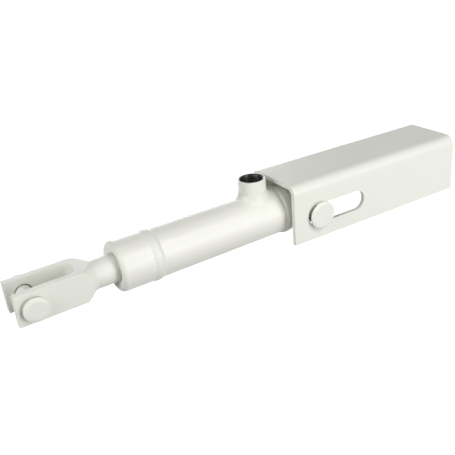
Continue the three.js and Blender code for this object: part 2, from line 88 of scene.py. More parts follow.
# Cylinder, placed along its own axis from the rear pin: forwards is negative
AXIS_RISE = 2.5
BARREL_RADIUS = 20.0
BORE_RADIUS = 15.0
REAR_WELD = -22.8
REAR_WELD_WIDTH = 10.0
REAR_WELD_CROWN = 1.4
REAR_SPIGOT = -36.0
REAR_SHOULDER = -14.0
REAR_NECK = -9.0
HEAD_WELD = -145.1
HEAD_WELD_WIDTH = 9.0
HEAD_WELD_CROWN = 1.1
HEAD_SPIGOT_LENGTH = 13.5
HEAD_FACE = -174.7
HEAD_RADIUS = 20.3
HEAD_EDGE = 4.0
WELD_RIPPLE = 0.05

# Hose port
PORT_X = -46.7
PORT_TOP = 34.5
PORT_RADIUS = 11.5
PORT_MOUTH = 10.2
PORT_BORE = 8.9
PORT_PITCH = 1.5
PORT_THREAD_DEPTH = 0.9
PORT_FEED = 4.0
PORT_SINK = 1.4
PORT_RELIEF = 0.45
PORT_WELD_TOP = 23.7
PORT_WELD_ALONG = 4.8
PORT_WELD_ACROSS = 2.8

# Gland and rod
GLAND_RADIUS = 15.6
GLAND_LENGTH = 8.5
GLAND_SEAT_DEPTH = 9.0
GLAND_LIP = -172.9
SPANNER_HOLES = 4
SPANNER_PITCH = 13.6
SPANNER_RADIUS = 1.25
SPANNER_DEPTH = 2.5
SPANNER_TURN = 0.47 * math.pi
ROD_RADIUS = 10.0
ROD_END = -76.3
TAIL_RADIUS = 6.0
TAIL_END = -43.5
TENON_RADIUS = 7.0
TENON_LENGTH = 15.0

# Fork and clevis pin
FORK_FRONT = -251.3
FORK_SHOULDER = -203.8
FORK_SHOULDER_LENGTH = 14.0
FORK_REAR = -173.2
FORK_WIDTH = 30.4
FORK_HEIGHT = 24.4
FORK_GAP = 19.1
FORK_SLOT_END = -205.1
FORK_SLOT_CORNER = 6.0
SHANK_RADIUS = 11.35
SOCKET_RADIUS = 7.2
SOCKET_DEPTH = 15.5
CLEVIS_X = -238.5
CLEVIS_RADIUS = 6.0
CLEVIS_CLEARANCE = 0.6
CLEVIS_SAG = 0.5
CLEVIS_HEAD = (-20.4, -17.6, 9.3, 2.6, 1.0)
CLEVIS_WASHER = (15.5, 18.0, 12.0)
CLEVIS_PIN_END = 24.0
CLEVIS_SPLIT_Y = 19.85
CLEVIS_SPLIT_WIRE = 1.25

# Split pins: the eye's radius, and the tips' spread and drop, in thicknesses of the wire
SPLIT_EYE = 1.3
SPLIT_SPREAD = 2.6
SPLIT_TIP = 2.0

# Facets round a turned face, a small one, the port, its weld, a bead and a wire
ROUND = 160
SMALL_ROUND = 96
PORT_ROUND = 128
FILLET_ROUND = 240
BEAD_ROUND = 420
WIRE_ROUND = 16

# Patterns: how far apart the paint's tones and the rubber's blotches lie, how high turned grooves are,
# and the span that noise mostly keeps to
TONE_MM = 45
BLOOM_MM = 2.5
GROOVE_HEIGHT_MM = 0.01
NOISE_LOW = 0.3
NOISE_HIGH = 0.7

# The cylinder leans down to the front until its head weld touches what the bracket stands on.
WELD_DROP = AXIS_RISE - BARREL_RADIUS - HEAD_WELD_CROWN
LEAN = (math.asin((BRACKET_HEIGHT + PIN_Z) / math.hypot(HEAD_WELD, WELD_DROP))
        + math.atan2(WELD_DROP, -HEAD_WELD))

# Camera: pixels, degrees and millimetres
FRAME_PX = 455
FOCAL_PX = 682.94
CENTRE_PX = (267.03, 205.15)
AZIMUTH = -33.82
ELEVATION = 23.49
ROLL = math.radians(-3.37)
CAMERA_MM = (-328.19, -439.76, 207.0)
SENSOR_MM = 36

# Floor and room: the floor's height and half its side, its glow by the object, how far off the glow
# starts to grow and is full, and the strength at which the room lights the object
GROUND_Z = -360.0
FLOOR_HALF_M = 6.0
FLOOR_GLOW = 0.92
GLOW_FROM_M = 0.35
GLOW_FULL_M = 1.2
WORLD_LIGHT = 0.02

# Softboxes: azimuth and elevation in degrees, side in metres and power in watts
LAMPS = {
    "key_softbox": (30, 40, 0.9, 3.0),
    "crisp_softbox": (20, 45, 0.35, 3.9),
    "low_softbox": (20, 7, 0.9, 11.3),
    "left_softbox": (-80, 25, 0.9, 10.9),
    "far_softbox": (165, 8, 0.9, 12.0)}
LAMP_DISTANCE_M = 1.4
LAMP_TARGET_M = (-0.05, 0, -0.03)


# Surfaces

def rounded(corners, steps=6, closed=False):
    """A polyline whose corners (x, y, radius) are replaced by arcs tangent to both sides."""
    pts = np.array([c[:2] for c in corners], float)
    out = []
    count = len(corners)
    for i, corner in enumerate(corners):
        radius = corner[2] if len(corner) > 2 else 0
        if radius <= 0 or (not closed and i in (0, count - 1)):
            out.append(pts[i])
            continue
        before, after = pts[i - 1] - pts[i], pts[(i + 1) % count] - pts[i]
        before, after = before / np.hypot(*before), after / np.hypot(*after)
        half = math.acos(np.clip(before @ after, -1, 1)) / 2
        middle = (before + after) / np.hypot(*(before + after))
        centre = pts[i] + middle * radius / math.sin(half)
        start = pts[i] + before * radius / math.tan(half) - centre
        end = pts[i] + after * radius / math.tan(half) - centre
        a0, a1 = math.atan2(start[1], start[0]), math.atan2(end[1], end[0])
        turn = (a1 - a0 + math.pi) % TAU - math.pi
        angles = a0 + turn * np.linspace(0, 1, steps + 1)
        out.extend(centre + radius * np.stack([np.cos(angles), np.sin(angles)], 1))
    if closed:
        out.append(out[0])
    return np.array(out)


def revolved(profile, steps=ROUND):
    """Turns a profile (along, radius) about the X axis: y = r cos t, z = r sin t."""
    t = np.linspace(0, TAU, steps, endpoint=False)
    along = np.repeat(profile[:, :1], steps, 1)
    return np.stack([along, profile[:, 1:] * np.cos(t), profile[:, 1:] * np.sin(t)], 2)


def bar(start, end, radius, steps=SMALL_ROUND):
    """A plain round bar along the X axis."""
    return revolved(np.array([[start, 0], [start, radius], [end, radius], [end, 0]], float), steps)


def swept(path, radius):
    """Carries a circle along a path in the XZ plane: the path's normal and Y span the section."""
    tangent = np.gradient(path, axis=0)
    tangent /= np.linalg.norm(tangent, axis=1, keepdims=True)
    normal = np.stack([-tangent[:, 2], np.zeros(len(path)), tangent[:, 0]], 1)
    t = np.linspace(0, TAU, WIRE_ROUND, endpoint=False)[None, :, None]
    ring = np.cos(t) * normal[:, None] + np.sin(t) * np.array([0, 1.0, 0])
    tube = path[:, None] + radius * ring
    start, end = np.repeat(path[:1, None], WIRE_ROUND, 1), np.repeat(path[-1:, None], WIRE_ROUND, 1)
    return np.concatenate([start, tube, end])


def prism_points(outline, low, high):
    """A closed outline in XY carried from one height to another, with capped ends."""
    count = len(outline)
    bottom = np.column_stack([outline, np.full(count, low)])
    top = np.column_stack([outline, np.full(count, high)])
    centre = outline.mean(0)
    low_pole = np.tile([*centre, low], (count, 1))
    high_pole = np.tile([*centre, high], (count, 1))
    return np.stack([low_pole, bottom, top, high_pole])


def grid_faces(rows, columns, wraps=True):
    """Quads of a grid of points, with its last column joined to its first where it wraps."""
    i, j = np.meshgrid(np.arange(rows - 1), np.arange(columns if wraps else columns - 1), indexing="ij")
    here, after = i * columns, (i + 1) * columns
    k = (j + 1) % columns
    return np.stack([here + j, here + k, after + k, after + j], 2).reshape(-1, 4)


def mesh_piece(name, points, faces):
    """Makes an object of points in millimetres, with doubles merged and faces turned outwards."""
    mesh = bpy.data.meshes.new(name)
    mesh.from_pydata((np.asarray(points).reshape(-1, 3) * MM).tolist(), [], np.asarray(faces).tolist())
    work = bmesh.new()
    work.from_mesh(mesh)
    bmesh.ops.remove_doubles(work, verts=work.verts, dist=1e-6)
    bmesh.ops.dissolve_degenerate(work, edges=work.edges, dist=1e-7)
    bmesh.ops.recalc_face_normals(work, faces=work.faces)
    work.to_mesh(mesh)
    work.free()
    mesh.shade_smooth()
    piece = bpy.data.objects.new(name, mesh)
    bpy.context.scene.collection.objects.link(piece)
    return piece


def grid_piece(name, points):
    """Makes an object of a grid of points that wraps round its columns."""
    return mesh_piece(name, points, grid_faces(*points.shape[:2]))


def keep_flats(piece):
    """Weighted normals, so that a flat face stays flat between its rounded edges."""
    modifier = piece.modifiers.new("flats", "WEIGHTED_NORMAL")
    modifier.mode = "FACE_AREA"
    modifier.weight = 80
    return piece


# Places

def on_axis(points):
    """From the cylinder's axis to the CAD frame: raised, leaned about the rear pin, put at the pin."""
    x, y, z = points[..., 0], points[..., 1], points[..., 2] + AXIS_RISE
    c, s = math.cos(LEAN), math.sin(LEAN)
    return np.stack([x * c - z * s, y, PIN_Z + z * c + x * s], -1)


def across(points, x=0.0):
    """Turns a body of revolution from the X axis to the Y axis, at the given x."""
    return np.stack([x + points[..., 1], points[..., 0], points[..., 2]], -1)


def upright(points, x):
    """Turns a body of revolution from the X axis to the Z axis, at the given x."""
    return np.stack([x + points[..., 1], points[..., 2], points[..., 0]], -1)


def at_pin(points):
    """At the rear pin, which rests low in its slots."""
    return points + np.array([0, 0, PIN_Z - REAR_SAG])


def at_eye(points):
    """Like on_axis, for what is centred on the eye and not on the barrel's axis."""
    return on_axis(points - np.array([0, 0, AXIS_RISE]))


def at_clevis(points):
    """At the clevis pin, which rests low in its holes."""
    return on_axis(points + np.array([CLEVIS_X, 0, -CLEVIS_SAG]))


# Fused and drilled pieces

def apply_modifiers(piece):
    depsgraph = bpy.context.evaluated_depsgraph_get()
    mesh = bpy.data.meshes.new_from_object(piece.evaluated_get(depsgraph))
    piece.modifiers.clear()
    piece.data = mesh


def combine(piece, other, operation):
    """Adds a boolean operation with another closed piece, which is still to be applied."""
    modifier = piece.modifiers.new(operation.lower(), "BOOLEAN")
    modifier.operation = operation
    modifier.object = other
    modifier.solver = "EXACT"


def drill(piece, cutter):
    """Cuts a closed cutter out of a piece, then removes the cutter."""
    combine(piece, cutter, "DIFFERENCE")
    apply_modifiers(piece)
    bpy.data.objects.remove(cutter)


def fused(name, body, voxel, joined=(), common=(), cut=()):
    """Joins and cuts closed pieces, then remeshes them at one voxel size, so that edges come out
    softly rounded."""
    for others, operation in ((common, "INTERSECT"), (joined, "UNION"), (cut, "DIFFERENCE")):
        for other in others:
            combine(body, other, operation)
    apply_modifiers(body)
    remesh = body.modifiers.new("voxels", "REMESH")
    remesh.mode = "VOXEL"
    remesh.voxel_size = voxel * MM
    remesh.use_smooth_shade = True
    soften = body.modifiers.new("soften", "SMOOTH")
    soften.factor = 0.5
    soften.iterations = 4
    apply_modifiers(body)
    for other in (*joined, *common, *cut):
        bpy.data.objects.remove(other)
    body.name = name
    body.data.name = name
    body.data.shade_smooth()
    return body


# Bracket

def slot_edge_from(points):
    """The slot's edge seen from points (x, z) round it: each goes to the nearest point of the slot's
    middle line, then out again by the slot's radius."""
    line_x = np.clip(points[:, 0], SLOT_FRONT + SLOT_RADIUS, SLOT_REAR - SLOT_RADIUS)
    foot = np.column_stack([line_x, np.full(len(points), PIN_Z)])
    away = points - foot
    return foot + SLOT_RADIUS * away / np.linalg.norm(away, axis=1, keepdims=True)


def on_flange(points, side):
    """From (x, z) to the outer face of the near flange for side -1, or of the far one for side 1."""
    y = np.full(points.shape[:-1], side * BRACKET_WIDTH / 2)
    return np.stack([points[..., 0], y, points[..., 1]], -1)


def flange_points(side):
    """Flange with its slot: a ring of quads from a rectangle to the slot, and a plain grid behind it."""
    xs = SLOT_COLUMNS
    zs = np.linspace(BRACKET_FOOT, -BEND_RADIUS, 21)
    bottom = np.column_stack([xs, np.full(len(xs), zs[0])])
    rear = np.column_stack([np.full(len(zs), xs[-1]), zs])
    top = np.column_stack([xs, np.full(len(xs), zs[-1])])[::-1]
    front = np.column_stack([np.full(len(zs), xs[0]), zs])[::-1]
    outline = np.concatenate([bottom[:-1], rear[:-1], top[:-1], front[:-1]])
    share = np.linspace(0, 1, 6)[:, None, None]
    ring = outline + (slot_edge_from(outline) - outline) * share
    plain = np.stack(np.meshgrid(REAR_COLUMNS, zs, indexing="ij"), -1)
    return on_flange(ring, side), on_flange(plain, side)


def make_bracket():
    """Folded channel: the outer skin is worked out first, then gets its wall and eased edges."""
    half = BRACKET_WIDTH / 2
    turn = np.linspace(math.pi, math.pi / 2, 13)
    near = np.column_stack([
        -half + BEND_RADIUS + BEND_RADIUS * np.cos(turn), BEND_RADIUS * (np.sin(turn) - 1)])
    flat = np.column_stack([np.linspace(near[-1, 0], -near[-1, 0], 9)[1:-1], np.zeros(7)])
    far = near[::-1] * [-1, 1]
    section = np.concatenate([near, flat, far])
    xs = np.concatenate([SLOT_COLUMNS, REAR_COLUMNS[1:]])
    x, y = np.meshgrid(xs, section[:, 0], indexing="ij")
    z = np.tile(section[:, 1], (len(xs), 1))
    sheets = [(np.stack([x, y, z], -1), False)]
    for side in (-1, 1):
        ring, plain = flange_points(side)
        sheets += [(ring, True), (plain, False)]
    points, faces, base = [], [], 0
    for grid, wraps in sheets:
        points.append(grid.reshape(-1, 3))
        faces.append(grid_faces(*grid.shape[:2], wraps) + base)
        base += len(points[-1])
    piece = mesh_piece("bracket_channel", np.concatenate(points), np.concatenate(faces))
    if sum(face.normal.z for face in piece.data.polygons if face.center.z > -MM) < 0:
        piece.data.flip_normals()
    wall = piece.modifiers.new("wall", "SOLIDIFY")
    wall.thickness = SHEET * MM
    wall.offset = -1
    wall.use_even_offset = True
    ease = piece.modifiers.new("eased_edges", "BEVEL")
    ease.width = SHEET_EDGE * MM
    ease.segments = 3
    ease.limit_method = "ANGLE"
    ease.angle_limit = math.radians(40)
    ease.miter_outer = "MITER_ARC"
    apply_modifiers(piece)
    return keep_flats(piece)


# Pins, washers and split pins

def make_pin_head(name, head, place):
    """Pin head along Y: a flat face, a shallow bevel round it and a short rim."""
    face, under, radius, bevel_width, bevel_depth = head
    profile = rounded([
        (face, 0), (face, radius - bevel_width, 2.0), (face + bevel_depth, radius, 0.3),
        (under, radius, 0.25), (under, 0)])
    return keep_flats(grid_piece(name, place(across(revolved(profile)))))


def make_pin_shank(name, radius, head, end, place):
    """Pin shank along Y, from inside its head to a chamfered tail."""
    start = head[1] - 0.5
    profile = rounded([
        (start, 0), (start, radius), (end - 1, radius, 0.3), (end, radius - 1, 0.3), (end, 0)])
    return keep_flats(grid_piece(name, place(across(revolved(profile)))))


def make_washer(name, washer, bore, place):
    """Flat washer along Y, its outer edge more rounded on the side that was punched."""
    low, high, radius = washer
    profile = rounded([
        (low, bore, 0.2), (low, radius, 0.35), (high, radius, 0.5), (high, bore, 0.2)], 4, closed=True)
    return keep_flats(grid_piece(name, place(across(revolved(profile)))))


def make_split_pin(name, radius, wire, y, place):
    """Folded wire: up through the pin, round an open eye, back down, and both tips bent apart."""
    thin = wire / 2
    eye = wire * SPLIT_EYE
    eye_z = radius + FIT + thin + eye
    around = np.linspace(-0.86, 0.86, 41) * math.pi
    loop = np.stack([eye * np.sin(around), 0 * around, eye_z + eye * np.cos(around)], 1)
    bend = np.linspace(0, 1, 14)[:, None]
    drop = -radius - 0.2
    tip = [thin + SPLIT_SPREAD * wire * bend ** 1.7, 0 * bend, drop - SPLIT_TIP * wire * bend]
    leg = np.concatenate([
        np.array([[thin, 0, loop[0, 2] - thin * 1.5]]),
        np.array([[thin, 0, drop * share] for share in (0, 0.5, 0.9)]),
        np.concatenate(tip, 1)])
    path = np.concatenate([(leg * [-1, 1, 1])[::-1], loop, leg])
    path[:, 1] += y
    return grid_piece(name, place(swept(path, thin)))


# Cylinder

def make_barrel():
    """Seamless tube with eased ends, cut through at the port."""
    front, rear = HEAD_WELD + WELD_GAP, REAR_WELD - WELD_GAP
    profile = rounded([
        (front, BORE_RADIUS, 0.3), (front, BARREL_RADIUS, 0.5), (rear, BARREL_RADIUS, 0.5),
        (rear, BORE_RADIUS, 0.3)], 4, closed=True)
    body = grid_piece("barrel", on_axis(revolved(profile)))
    feed = bar(BORE_RADIUS - 5, BARREL_RADIUS + 5, PORT_FEED, steps=48)
    drill(body, grid_piece("feed", on_axis(upright(feed, PORT_X))))
    return keep_flats(body)


def make_head():
    """Turned head with a large rounded front edge, a seat for the gland and a spigot in the barrel."""
    rear, seat = HEAD_WELD - WELD_GAP, HEAD_FACE + GLAND_SEAT_DEPTH
    spigot_end = HEAD_WELD + HEAD_SPIGOT_LENGTH
    spigot, bore, recess = BORE_RADIUS - FIT, ROD_RADIUS + FIT, GLAND_RADIUS + 0.06
    profile = rounded([
        (HEAD_FACE, recess, 0.15), (HEAD_FACE, HEAD_RADIUS, HEAD_EDGE), (rear, HEAD_RADIUS, 0.4),
        (rear, spigot), (spigot_end, spigot, 0.5), (spigot_end, bore, 0.5), (seat, bore), (seat, recess)],
        12, closed=True)
    return keep_flats(grid_piece("head", on_axis(revolved(profile))))


def weld_bead(name, middle, width, crown, power, spacing):
    """Bead round the barrel: a hump, r = R + crown (1 - |s|^power), with ripples that trail back from
    its middle. Its edges wander a little and end just under the barrel's surface."""
    t = np.linspace(0, TAU, BEAD_ROUND, endpoint=False)[None]
    s = np.linspace(-1, 1, 25)[:, None]
    sink = 0.15
    wave = np.cos(t * round(TAU * BARREL_RADIUS / spacing) + 2.2 * s ** 2)
    wander = 0.10 * np.sin(3 * t + 1) + 0.07 * np.sin(7 * t)
    hump = BARREL_RADIUS - sink + (crown + sink) * (1 - np.abs(s) ** power)
    hump = hump + WELD_RIPPLE * (wave - 1) * (1 - s ** 2)
    along = middle + s * (width / 2 + wander)
    root = 0 * t + BARREL_RADIUS - 2.0
    radius = np.concatenate([root, hump, root, root])
    along = np.concatenate([along[:1], along, along[-1:], along[:1]])
    points = np.stack([along, radius * np.cos(t), radius * np.sin(t)], 2)
    return grid_piece(name, on_axis(points))


def make_port_boss():
    """Boss with a rounded rim and a narrow relief above its weld: a turned ring whose inside is left
    to the thread."""
    sleeve = PORT_BORE + PORT_THREAD_DEPTH + 0.12
    waist = PORT_RADIUS - PORT_RELIEF
    foot, weld = BARREL_RADIUS - 4, PORT_WELD_TOP
    profile = rounded([
        (foot, sleeve), (foot, PORT_RADIUS), (weld + 0.1, PORT_RADIUS), (weld + 0.2, waist),
        (weld + 0.7, waist), (weld + 0.9, PORT_RADIUS, 0.1), (PORT_TOP, PORT_RADIUS, 0.45),
        (PORT_TOP, PORT_MOUTH + 0.12, 0.1), (PORT_TOP - PORT_SINK, sleeve, 0.1)], 5, closed=True)
    return keep_flats(grid_piece("port_ring", on_axis(upright(revolved(profile, PORT_ROUND), PORT_X))))


def make_port_thread():
    """Helical thread: the bore's radius follows a triangle wave of z / pitch - t / TAU, which starts
    below a countersunk mouth."""
    top, end = PORT_TOP - PORT_SINK, BARREL_RADIUS - 1.0
    sleeve = PORT_BORE + PORT_THREAD_DEPTH + 0.1
    rim = PORT_TOP - 0.06
    lead = np.array([
        [end, sleeve], [top, sleeve], [rim, PORT_MOUTH + 0.08], [rim, PORT_MOUTH], [top, PORT_BORE]])
    down = np.linspace(top, end, 150)[1:]
    bore = np.column_stack([down, np.full(len(down), PORT_BORE)])
    profile = np.concatenate([lead, bore, lead[:1]])
    points = revolved(profile, PORT_ROUND)
    t = np.linspace(0, TAU, PORT_ROUND, endpoint=False)[None]
    z = profile[:, :1]
    wave = 1 - np.abs(2 * ((z / PORT_PITCH - t / TAU) % 1) - 1)
    window = np.clip((top - z) / PORT_PITCH, 0, 1) * np.clip((z - end) / PORT_PITCH, 0, 1)
    window = window * (profile[:, 1:] == PORT_BORE)
    points[..., 1:] *= (1 + window * PORT_THREAD_DEPTH * wave / PORT_BORE)[..., None]
    return grid_piece("port_thread", on_axis(upright(points, PORT_X)))


def make_port_weld():
    """Fillet on the saddle: at angle t the toe lies on the barrel, z = sqrt(R^2 - y^2), further out
    along the barrel than across it, and a concave curve climbs from there to one height on the boss."""
    t = np.linspace(0, TAU, FILLET_ROUND, endpoint=False)[None]
    s = np.linspace(0, 1, 22)[:, None]

    def saddle(radius):
        return np.sqrt(BARREL_RADIUS ** 2 - (radius * np.sin(t)) ** 2)

    wobble = 0.12 * np.sin(5 * t + 0.6) + 0.08 * np.sin(11 * t)
    toe = PORT_RADIUS + PORT_WELD_ACROSS + (PORT_WELD_ALONG - PORT_WELD_ACROSS) * np.cos(t) ** 2
    toe = toe + wobble
    root_z, toe_z = saddle(PORT_RADIUS), saddle(toe) - 0.05
    top_z = PORT_WELD_TOP + 0.15 * np.sin(4 * t)
    knee_r = PORT_RADIUS + (toe - PORT_RADIUS) * 0.28
    knee_z = toe_z + (root_z - toe_z) * 0.72 + (top_z - root_z) * 0.18
    a, b, c = (1 - s) ** 2, 2 * s * (1 - s), s ** 2
    radius = a * (PORT_RADIUS + 0.55) + b * knee_r + c * toe
    height = a * top_z + b * knee_z + c * toe_z
    height = height + 0.10 * np.cos(26 * t + 3 * s) * np.sin(np.pi * s)
    inner_r = PORT_RADIUS - 0.6
    lip_r = np.array([inner_r, PORT_RADIUS + 0.2])[:, None] + 0 * t
    lip_z = np.concatenate([top_z - 0.2, top_z + 0.18])
    under_r = np.concatenate([toe - 0.3, inner_r + 0 * t])
    under_z = np.concatenate([saddle(toe) - 1.2, root_z - 1.2])
    radius = np.concatenate([lip_r, radius, under_r, lip_r[:1]])
    height = np.concatenate([lip_z, height, under_z, lip_z[:1]])
    points = np.stack([PORT_X + radius * np.cos(t), radius * np.sin(t), height], 2)
    return grid_piece("port_fillet", on_axis(points))


def make_gland():
    """Screwed gland ring: a face dished down to a flat land, a groove for the wiper and drilled
    spanner holes."""
    rear, bore = HEAD_FACE + GLAND_LENGTH, ROD_RADIUS + FIT
    groove, mouth = ROD_RADIUS + 2.9, ROD_RADIUS + 0.5
    profile = rounded([
        (HEAD_FACE, GLAND_RADIUS, 0.15), (rear, GLAND_RADIUS), (rear, bore), (GLAND_LIP + 5, bore),
        (GLAND_LIP + 5, groove), (GLAND_LIP + 1, groove), (GLAND_LIP + 1, mouth), (GLAND_LIP, mouth, 0.2),
        (GLAND_LIP, SHANK_RADIUS + FIT, 0.3)], 4, closed=True)
    body = grid_piece("gland_ring", on_axis(revolved(profile)))
    for i in range(SPANNER_HOLES):
        turn = SPANNER_TURN + i * TAU / SPANNER_HOLES
        middle = np.array([0, SPANNER_PITCH * math.cos(turn), SPANNER_PITCH * math.sin(turn)])
        hole = bar(HEAD_FACE - 3, HEAD_FACE + SPANNER_DEPTH, SPANNER_RADIUS, steps=32) + middle
        drill(body, grid_piece("spanner_hole", on_axis(hole)))
    return keep_flats(body)


def make_wiper():
    """Wiper ring: a rubber lip that leans out to the rod through the gland's mouth."""
    inner = ROD_RADIUS + 0.1
    front, rear = GLAND_LIP + 1.3, GLAND_LIP + 4.7
    profile = rounded([
        (rear, inner + 0.4), (rear, inner + 2.5, 0.2), (front, inner + 2.5, 0.2), (front, inner + 0.5),
        (GLAND_LIP + 0.5, inner + 0.3, 0.08), (GLAND_LIP + 0.8, inner, 0.05)], 4, closed=True)
    return grid_piece("wiper_lip", on_axis(revolved(profile)))


def make_rod():
    """Ground rod with a tenon in the fork and a tail through the piston."""
    tenon_end, shoulder = FORK_REAR - TENON_LENGTH, FORK_REAR + FIT
    profile = rounded([
        (tenon_end, 0), (tenon_end, TENON_RADIUS, 0.5), (shoulder, TENON_RADIUS),
        (shoulder, ROD_RADIUS, 0.3), (ROD_END, ROD_RADIUS, 0.3), (ROD_END, TAIL_RADIUS),
        (TAIL_END, TAIL_RADIUS, 0.5), (TAIL_END, 0)])
    return keep_flats(grid_piece("ground_rod", on_axis(revolved(profile))))


def make_rear_cap():
    """Forged cap: spigot, cone and eye, bored for the bush."""
    seat, spigot, neck = REAR_WELD + WELD_GAP, BORE_RADIUS - FIT, EYE_RADIUS - 2.5
    cone = revolved(rounded([
        (REAR_SPIGOT, 0), (REAR_SPIGOT, spigot, 0.6), (seat, spigot), (seat, BARREL_RADIUS, 0.5),
        (REAR_SHOULDER, BARREL_RADIUS, 1.5), (REAR_NECK, neck, 2), (0, neck), (0, 0)]))
    body = grid_piece("cone", on_axis(cone))
    half = EYE_WIDTH / 2
    eye_profile = rounded([(-half, 0), (-half, EYE_RADIUS, 1.0), (half, EYE_RADIUS, 1.0), (half, 0)])
    eye = grid_piece("eye", at_eye(across(revolved(eye_profile))))
    bore = grid_piece("bore", at_eye(across(bar(-25, 25, REAR_BUSH_RADIUS + 0.1))))
    return fused("rear_forging", body, voxel=0.5, joined=[eye], cut=[bore])


def make_bush():
    """Plain bush pressed through the eye, with eased ends."""
    half, bore = REAR_BUSH_HALF, REAR_PIN_RADIUS + REAR_CLEARANCE
    profile = rounded([
        (-half, bore, 0.3), (-half, REAR_BUSH_RADIUS, 0.4), (half, REAR_BUSH_RADIUS, 0.4),
        (half, bore, 0.3)], 4, closed=True)
    return keep_flats(grid_piece("bearing_bush", at_eye(across(revolved(profile)))))


def make_fork():
    """Forged fork: a square block kept where a turned outline meets it, slotted and cross drilled."""
    corner = math.hypot(FORK_WIDTH, FORK_HEIGHT) / 2
    end = FORK_SHOULDER + FORK_SHOULDER_LENGTH
    u = np.linspace(0, 1, 33)
    ease = (1 + np.cos(np.pi * u)) / 2
    front = [[FORK_FRONT - 2, 0], [FORK_FRONT - 2, corner + 1], [FORK_SHOULDER - 0.1, corner + 1]]
    shoulder = np.column_stack([
        FORK_SHOULDER + (end - FORK_SHOULDER) * u, SHANK_RADIUS + (corner - SHANK_RADIUS) * ease])
    rear = rounded([(end, SHANK_RADIUS), (FORK_REAR, SHANK_RADIUS, 0.5), (FORK_REAR, 0)])
    body = grid_piece("turned", on_axis(revolved(np.concatenate([front, shoulder, rear[1:]]))))
    half_y, half_z = FORK_WIDTH / 2, FORK_HEIGHT / 2
    square = rounded([
        (-half_y, -half_z, 0.5), (half_y, -half_z, 0.5), (half_y, half_z, 0.5), (-half_y, half_z, 0.5)],
        4, closed=True)[:-1]
    block_points = prism_points(square, FORK_FRONT, FORK_REAR + 2)[..., [2, 0, 1]]
    block = grid_piece("block", on_axis(block_points))
    mouth, half_gap = FORK_FRONT - 5, FORK_GAP / 2
    outline = rounded([
        (mouth, -half_gap), (FORK_SLOT_END, -half_gap, FORK_SLOT_CORNER),
        (FORK_SLOT_END, half_gap, FORK_SLOT_CORNER), (mouth, half_gap)], 12, closed=True)[:-1]
    slot = grid_piece("slot", on_axis(prism_points(outline, -FORK_HEIGHT, FORK_HEIGHT)))
    cross_bar = bar(-FORK_WIDTH, FORK_WIDTH, CLEVIS_RADIUS + CLEVIS_CLEARANCE)
    hole = grid_piece("hole", on_axis(across(cross_bar, CLEVIS_X)))
    socket = grid_piece("socket", on_axis(bar(FORK_REAR - SOCKET_DEPTH, FORK_REAR + 3, SOCKET_RADIUS)))
    return fused("fork_forging", body, voxel=0.42, common=[block], cut=[slot, hole, socket])


# Materials

def linear(hex_colour):
    """sRGB hex text to a linear colour with alpha 1."""
    channels = [int(hex_colour[i:i + 2], 16) / 255 for i in (1, 3, 5)]
    return [c / 12.92 if c <= 0.04045 else ((c + 0.055) / 1.055) ** 2.4 for c in channels] + [1.0]


def add(tree, kind, inputs=None, **settings):
    """Adds a node, sets its properties, and sets or links its inputs by name or number."""
    node = tree.nodes.new(kind)
    for key, value in settings.items():
        setattr(node, key, value)
    for key, value in (inputs or {}).items():
        if isinstance(value, bpy.types.NodeSocket):
            tree.links.new(value, node.inputs[key])
        else:
            node.inputs[key].default_value = value
    return node


def new_material(name):
    """A material whose node tree is still empty."""
    material = bpy.data.materials.new(name)
    material.use_nodes = True
    material.node_tree.nodes.clear()
    return material, material.node_tree


def paint(name, base, shade, roughness, peel_mm, peel_height_mm):
    """Two-pack topcoat, sprayed over primed steel: semi-gloss, a little uneven in tone, with orange
    peel. Peel spacing is 1 to 3 mm on the real thing, and its height a few hundredths."""
    material, tree = new_material(name)
    place = add(tree, "ShaderNodeTexCoord").outputs["Object"]
    clouds = add(tree, "ShaderNodeTexNoise", {
        "Vector": place, "Scale": 1 / (TONE_MM * MM), "Detail": 3.0})
    tone = add(tree, "ShaderNodeMix", {
        0: clouds.outputs[0], 6: linear(base), 7: linear(shade)}, data_type="RGBA")
    gloss = add(tree, "ShaderNodeMapRange", {
        0: clouds.outputs[0], 1: NOISE_LOW, 2: NOISE_HIGH, 3: roughness - 0.04, 4: roughness + 0.05})
    peel = add(tree, "ShaderNodeTexNoise", {
        "Vector": place, "Scale": 1 / (peel_mm * MM), "Detail": 2.0})
    bump = add(tree, "ShaderNodeBump", {
        "Height": peel.outputs[0], "Strength": 1.0, "Distance": peel_height_mm * MM})
    shader = add(tree, "ShaderNodeBsdfPrincipled", {
        "Base Color": tone.outputs[2], "Roughness": gloss.outputs[0], "IOR": 1.5,
        "Normal": bump.outputs[0]})
    add(tree, "ShaderNodeOutputMaterial", {"Surface": shader.outputs["BSDF"]})
    return material


def turned_metal(name, base, roughness, groove_mm):
    """Bare or plated metal that has been turned or ground: fine rings whose spacing is drawn coarse
    enough to show."""
    material, tree = new_material(name)
    place = add(tree, "ShaderNodeTexCoord").outputs["Object"]
    stretched = add(tree, "ShaderNodeMapping", {"Vector": place, "Scale": (1.0, 0.06, 0.06)})
    rings = add(tree, "ShaderNodeTexNoise", {
        "Vector": stretched.outputs[0], "Scale": 1 / (groove_mm * MM), "Detail": 3.0})
    gloss = add(tree, "ShaderNodeMapRange", {
        0: rings.outputs[0], 1: NOISE_LOW, 2: NOISE_HIGH, 3: roughness - 0.04, 4: roughness + 0.08})
    bump = add(tree, "ShaderNodeBump", {
        "Height": rings.outputs[0], "Strength": 0.4, "Distance": GROOVE_HEIGHT_MM * MM})
    shader = add(tree, "ShaderNodeBsdfPrincipled", {
        "Base Color": linear(base), "Metallic": 1.0, "Roughness": gloss.outputs[0],
        "Normal": bump.outputs[0]})
    add(tree, "ShaderNodeOutputMaterial", {"Surface": shader.outputs["BSDF"]})
    return material


